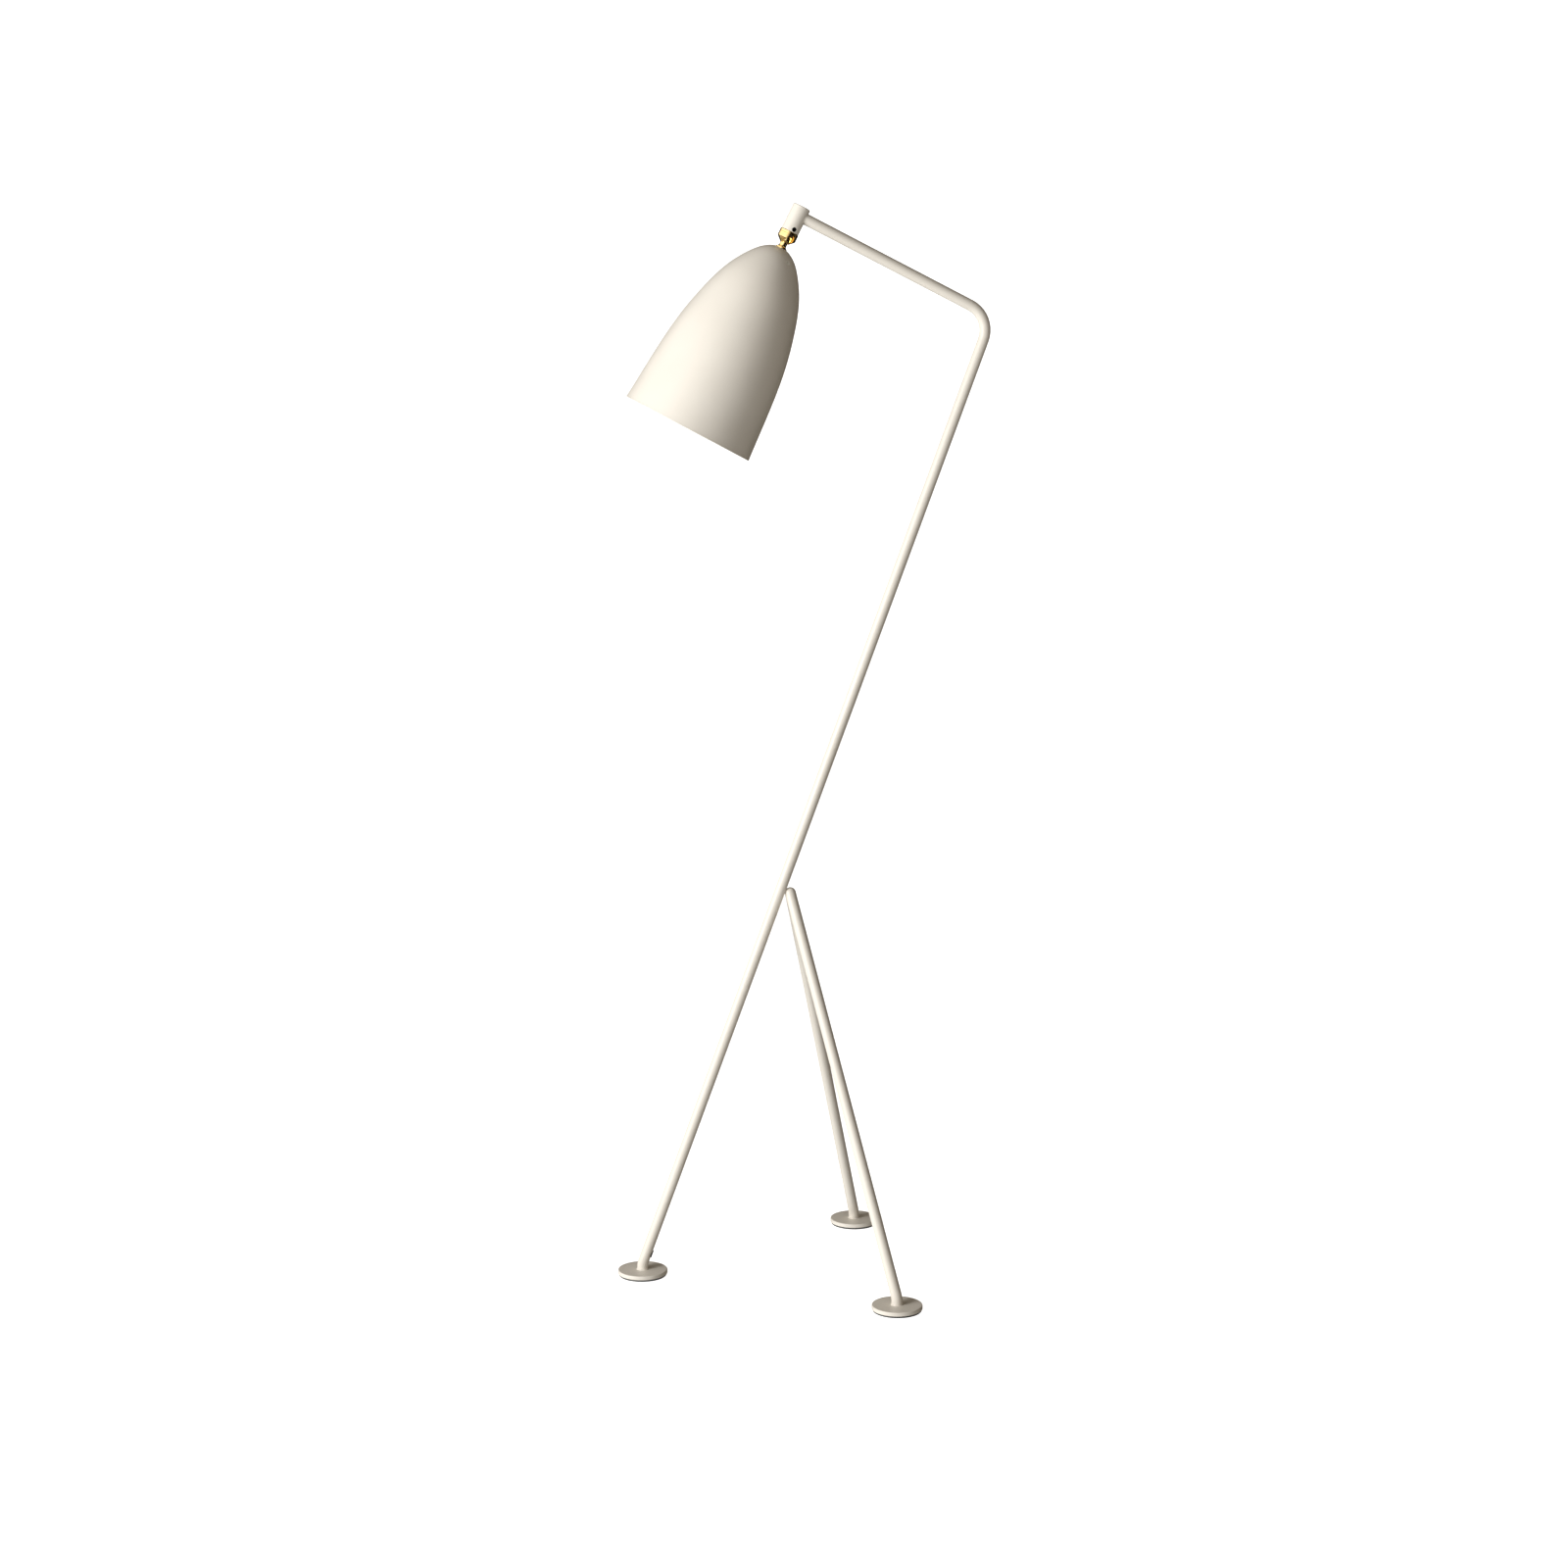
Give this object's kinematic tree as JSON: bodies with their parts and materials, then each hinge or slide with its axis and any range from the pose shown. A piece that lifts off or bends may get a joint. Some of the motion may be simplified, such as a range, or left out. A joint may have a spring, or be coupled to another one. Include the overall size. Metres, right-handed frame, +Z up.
{
  "type": "adjustable arm floor lamp",
  "caption": "Slim tripod floor lamp: a bent tube rises from the front foot, leans back and turns into an arm that carries a bullet-shaped shade on a brass ball joint.",
  "frame": {"origin": "on the floor, under the middle of the lamp's outline, so the front foot is at -X and the two rear feet at +X", "axes": "+Z up, +X to the rear, where the mast leans, +Y to the left of somebody who stands behind the lamp's front foot and looks towards +X"},
  "size_m": [0.4397, 0.3866, 1.2594],
  "materials": {
    "paint": "satin cream powder coat",
    "foot_rubber": "matt dark grey rubber",
    "grommet_rubber": "matt black rubber",
    "steel": "zinc plated",
    "spring_steel": "oiled spring steel",
    "black_steel": "black oxide",
    "brass": "polished",
    "shell_brass": "bright pressed sheet",
    "nylon": "dark filled nylon",
    "holder_plastic": "white moulded thermoplastic",
    "porcelain": "glazed white porcelain",
    "solder": "solder tip",
    "cap_glass": "black vitrite glass",
    "cap_glass_clear": "clear glass",
    "cap_nickel": "nickel plated",
    "bulb_glass": "frosted inside",
    "tungsten": "drawn tungsten"
  },
  "bodies": {
    "stand": {"main_tube": "paint", "leg_knuckle": "paint", "rear_leg_near": "paint", "rear_leg_far": "paint", "cable_grommet": "grommet_rubber", "foot_screws": "steel", "foot_disc_front": "paint", "foot_disc_near": "paint", "foot_disc_far": "paint", "foot_pad_front": "foot_rubber", "foot_pad_near": "foot_rubber", "foot_pad_far": "foot_rubber", "foot_plug_front": "steel", "foot_plug_near": "steel", "foot_plug_far": "steel", "head_housing": "paint", "set_screw": "black_steel"},
    "swivel": {"ball_socket": "brass", "ball_cap": "brass", "ball_seat": "nylon", "ball_spring": "spring_steel"},
    "stem": {"ball_stem": "brass"},
    "shade": {"shade": "paint", "shade_washer": "steel", "shade_locknut": "brass", "holder_cap": "holder_plastic", "holder_skirt": "holder_plastic", "holder_core": "porcelain", "terminal_screws": "steel", "screw_shell": "shell_brass", "centre_contact": "shell_brass", "bulb_contact": "solder", "bulb_insulator": "cap_glass", "bulb_cap": "cap_nickel", "bulb_glass": "bulb_glass", "bulb_mount": "cap_glass_clear", "bulb_leads": "cap_nickel", "bulb_filament": "tungsten"}
  },
  "joints": [
    {"name": "socket_swivel", "type": "hinge", "parent": "stand", "child": "swivel", "pos_m": [-0.0172, 0, 1.21982], "axis": [-0.4509, 0, -0.8926], "range_deg": [-170, 170]},
    {"name": "ball_tilt", "type": "hinge", "parent": "swivel", "child": "stem", "pos_m": [-0.0172, 0, 1.21982], "axis": [-0.8388, -0.342, 0.4237], "range_deg": [-4, 60]},
    {"name": "shade_turn", "type": "hinge", "parent": "stem", "child": "shade", "pos_m": [-0.0172, 0, 1.21982], "axis": [-0.4695, 0, -0.8829], "range_deg": [-170, 170]}
  ]
}
